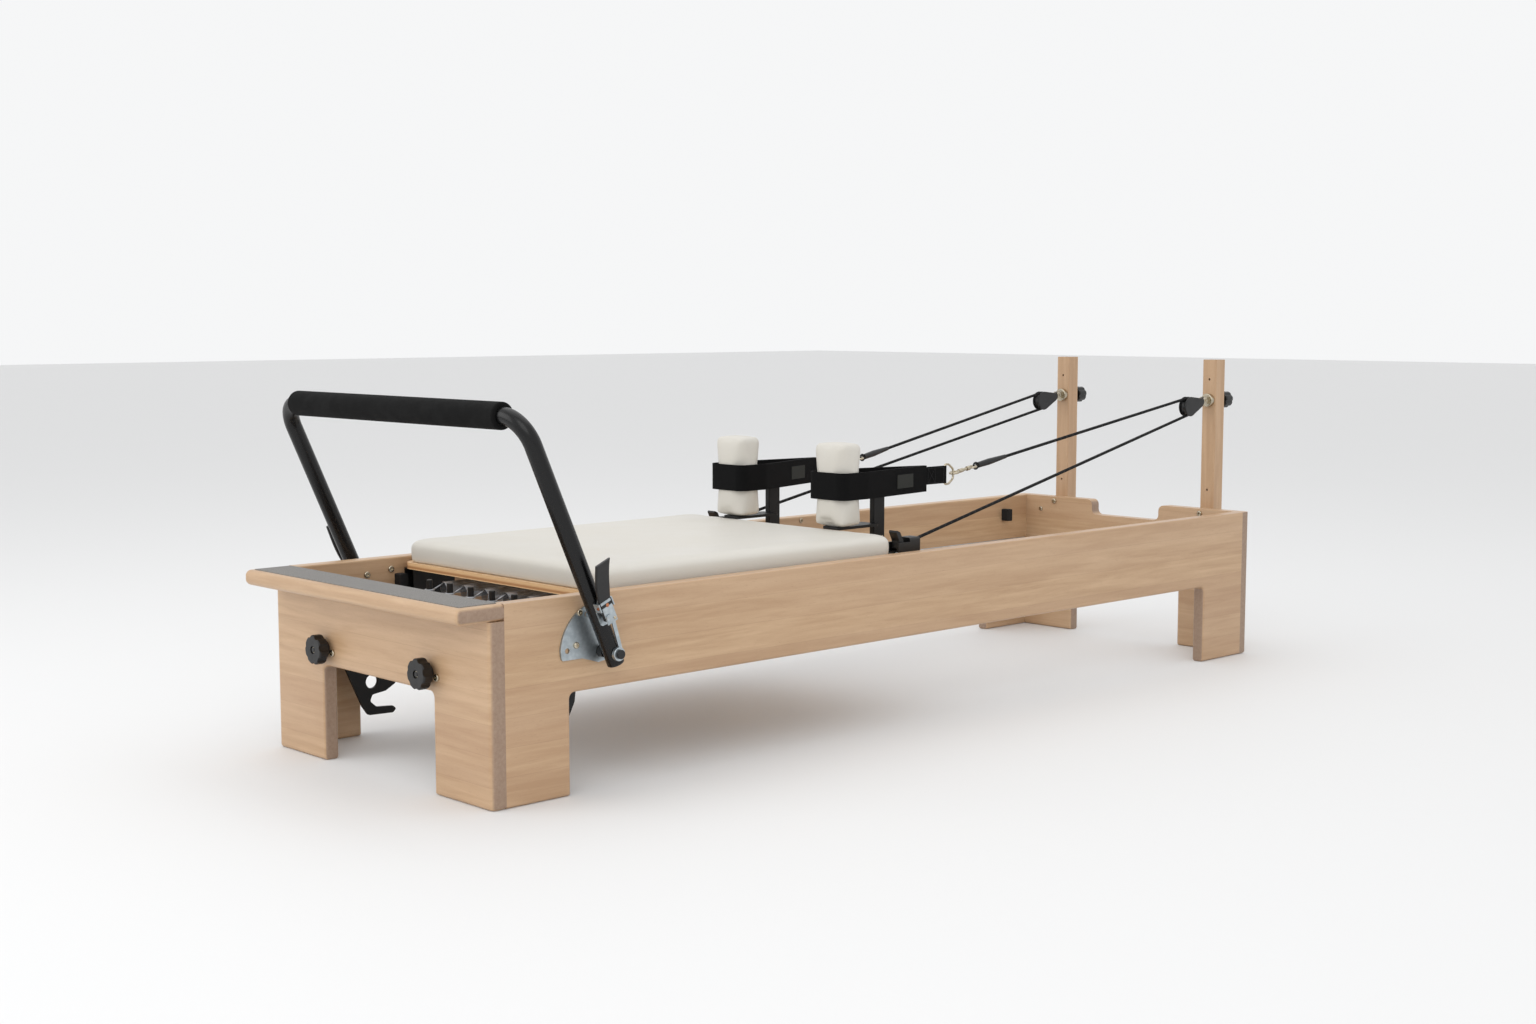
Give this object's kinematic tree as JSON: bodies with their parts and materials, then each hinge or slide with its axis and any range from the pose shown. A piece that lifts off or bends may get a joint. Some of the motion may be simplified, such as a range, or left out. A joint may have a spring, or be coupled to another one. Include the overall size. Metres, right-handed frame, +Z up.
{
  "type": "pilates reformer",
  "caption": "Floor-standing wooden pilates reformer with a sprung rolling carriage, shoulder rests, tilting footbar and strap pulleys on raised posts.",
  "frame": {"origin": "bottom centre of the whole reformer's bounding box, on the floor", "axes": "+X runs along the reformer from the foot end (footbar, standing platform) to the head end (pulley posts), +Y across it, +Z up"},
  "size_m": [2.477, 0.893, 0.74],
  "materials": {
    "beech": "clear satin lacquer over glued beech",
    "plywood": "clear lacquered plywood",
    "grip_tape": "fine grit, matt",
    "upholstery": "fine grained vinyl, soft sheen",
    "webbing": "woven webbing with stitched ends",
    "rope_black": "braided cord",
    "black_tube": "satin powder coat",
    "black_plate": "satin powder coat",
    "foam": "matt closed-cell foam",
    "black_plastic": "fine moulded texture",
    "rubber": "matt",
    "wheel": "hard polyurethane",
    "galvanised": "zinc plated",
    "spring_steel": "bright drawn wire",
    "bright_steel": "nickel plated",
    "aluminium": "anodised satin",
    "grey_paint": "light grey paint",
    "sheave_plastic": "moulded nylon"
  },
  "bodies": {
    "frame": {"foot_panel": "beech", "head_panel": "beech", "standing_platform": "beech", "platform_grip_strip": "grip_tape", "side_rail_near": "beech", "side_rail_far": "beech", "carriage_tracks": "aluminium", "carriage_stops": "rubber", "riser_near": "beech", "riser_far": "beech", "riser_bolts": "bright_steel", "frame_screws": "bright_steel", "quadrant_plates": "galvanised", "pivot_bolts": "galvanised", "pivot_caps": "black_plastic", "pivot_bushes": "black_plastic", "spring_bar": "grey_paint", "spring_pegs": "black_plastic", "hook_plates": "black_plate", "pulley_studs": "bright_steel", "springs": "spring_steel"},
    "carriage": {"carriage_deck": "plywood", "carriage_cushion": "upholstery", "wheel_brackets": "black_plate", "axle_bolts": "galvanised", "spring_anchor": "grey_paint", "rest_brackets": "black_plate", "rest_screws": "bright_steel", "shoulder_pad_near": "upholstery", "shoulder_pad_far": "upholstery", "cleat_plates": "galvanised", "cleat_bodies": "black_plastic", "strap_near": "webbing", "strap_far": "webbing", "d_rings": "bright_steel", "snap_hooks": "bright_steel", "rope_eyes": "black_plastic", "rope_near": "rope_black", "rope_far": "rope_black"},
    "footbar": {"footbar_tube": "black_tube", "footbar_grip": "foam", "footbar_end_plugs": "black_plastic", "latch_plates": "galvanised", "latch_rivets": "galvanised"},
    "wheels_foot": {"carriage_wheels_foot": "wheel"},
    "wheels_head": {"carriage_wheels_head": "wheel"},
    "latch_lever_near": {"latch_lever_near": "black_plastic"},
    "latch_pin_near": {"latch_pin_near": "galvanised"},
    "pulley_near": {"pulley_block_near": "black_plastic"},
    "sheave_near": {"sheave_near": "sheave_plastic"},
    "riser_knob_near": {"riser_knob_near": "black_plastic"},
    "clamp_knob_near": {"clamp_knob_near": "black_plastic"},
    "cleat_lever_near": {"cleat_lever_near": "black_plastic"},
    "latch_lever_far": {"latch_lever_far": "black_plastic"},
    "latch_pin_far": {"latch_pin_far": "galvanised"},
    "pulley_far": {"pulley_block_far": "black_plastic"},
    "sheave_far": {"sheave_far": "sheave_plastic"},
    "riser_knob_far": {"riser_knob_far": "black_plastic"},
    "clamp_knob_far": {"clamp_knob_far": "black_plastic"},
    "cleat_lever_far": {"cleat_lever_far": "black_plastic"}
  },
  "joints": [
    {"name": "carriage_slide", "type": "slide", "parent": "frame", "child": "carriage", "axis": [1, 0, 0], "range_m": [0, 1], "stiffness_N_per_m": 500, "springref_m": -0.1, "deforming": ["springs", "rope_near", "rope_far"]},
    {"name": "wheels_foot_roll", "type": "hinge", "parent": "carriage", "child": "wheels_foot", "pos_m": [-0.8465, 0, 0.2493], "axis": [0, 1, 0], "continuous": true},
    {"name": "wheels_head_roll", "type": "hinge", "parent": "carriage", "child": "wheels_head", "pos_m": [-0.0285, 0, 0.2493], "axis": [0, 1, 0], "continuous": true},
    {"name": "footbar_tilt", "type": "hinge", "parent": "frame", "child": "footbar", "pos_m": [-0.9335, 0, 0.255], "axis": [0, 1, 0], "range_deg": [-60, 20]},
    {"name": "latch_near_turn", "type": "hinge", "parent": "footbar", "child": "latch_lever_near", "pos_m": [-0.96961, -0.4235, 0.34839], "axis": [-0.9135, 0, -0.4067], "range_deg": [-8, 12]},
    {"name": "pin_near_slide", "type": "slide", "parent": "footbar", "child": "latch_pin_near", "axis": [0, -1, 0], "range_m": [-0.004, 0.006]},
    {"name": "pulley_near_pitch", "type": "hinge", "parent": "frame", "child": "pulley_near", "pos_m": [1.1345, -0.234, 0.637], "axis": [0, 1, 0], "range_deg": [-35, 35]},
    {"name": "sheave_near_spin", "type": "hinge", "parent": "pulley_near", "child": "sheave_near", "pos_m": [1.06579, -0.234, 0.62364], "axis": [0, 1, 0], "continuous": true},
    {"name": "riser_knob_near_turn", "type": "hinge", "parent": "frame", "child": "riser_knob_near", "pos_m": [1.2135, -0.234, 0.637], "axis": [1, 0, 0], "continuous": true},
    {"name": "clamp_knob_near_turn", "type": "hinge", "parent": "frame", "child": "clamp_knob_near", "pos_m": [-1.1815, -0.175, 0.22], "axis": [-1, 0, 0], "continuous": true},
    {"name": "cleat_near_lift", "type": "hinge", "parent": "carriage", "child": "cleat_lever_near", "pos_m": [-0.0675, -0.288, 0.367], "axis": [0, 1, 0], "range_deg": [0, 45]},
    {"name": "latch_far_turn", "type": "hinge", "parent": "footbar", "child": "latch_lever_far", "pos_m": [-0.96961, 0.4235, 0.34839], "axis": [0.9135, 0, 0.4067], "range_deg": [-8, 12]},
    {"name": "pin_far_slide", "type": "slide", "parent": "footbar", "child": "latch_pin_far", "axis": [0, 1, 0], "range_m": [-0.004, 0.006]},
    {"name": "pulley_far_pitch", "type": "hinge", "parent": "frame", "child": "pulley_far", "pos_m": [1.1345, 0.234, 0.637], "axis": [0, 1, 0], "range_deg": [-35, 35]},
    {"name": "sheave_far_spin", "type": "hinge", "parent": "pulley_far", "child": "sheave_far", "pos_m": [1.06579, 0.234, 0.62364], "axis": [0, 1, 0], "continuous": true},
    {"name": "riser_knob_far_turn", "type": "hinge", "parent": "frame", "child": "riser_knob_far", "pos_m": [1.2135, 0.234, 0.637], "axis": [1, 0, 0], "continuous": true},
    {"name": "clamp_knob_far_turn", "type": "hinge", "parent": "frame", "child": "clamp_knob_far", "pos_m": [-1.1815, 0.175, 0.22], "axis": [-1, 0, 0], "continuous": true},
    {"name": "cleat_far_lift", "type": "hinge", "parent": "carriage", "child": "cleat_lever_far", "pos_m": [-0.0675, 0.288, 0.367], "axis": [0, 1, 0], "range_deg": [0, 45]}
  ],
  "couplings": [
    {"joint": "wheels_foot_roll", "follows": "carriage_slide", "rad_per_m": 35.714},
    {"joint": "wheels_head_roll", "follows": "carriage_slide", "rad_per_m": 35.714},
    {"joint": "pin_near_slide", "follows": "latch_near_turn", "m_per_rad": 0.028},
    {"joint": "pin_far_slide", "follows": "latch_far_turn", "m_per_rad": 0.028}
  ]
}
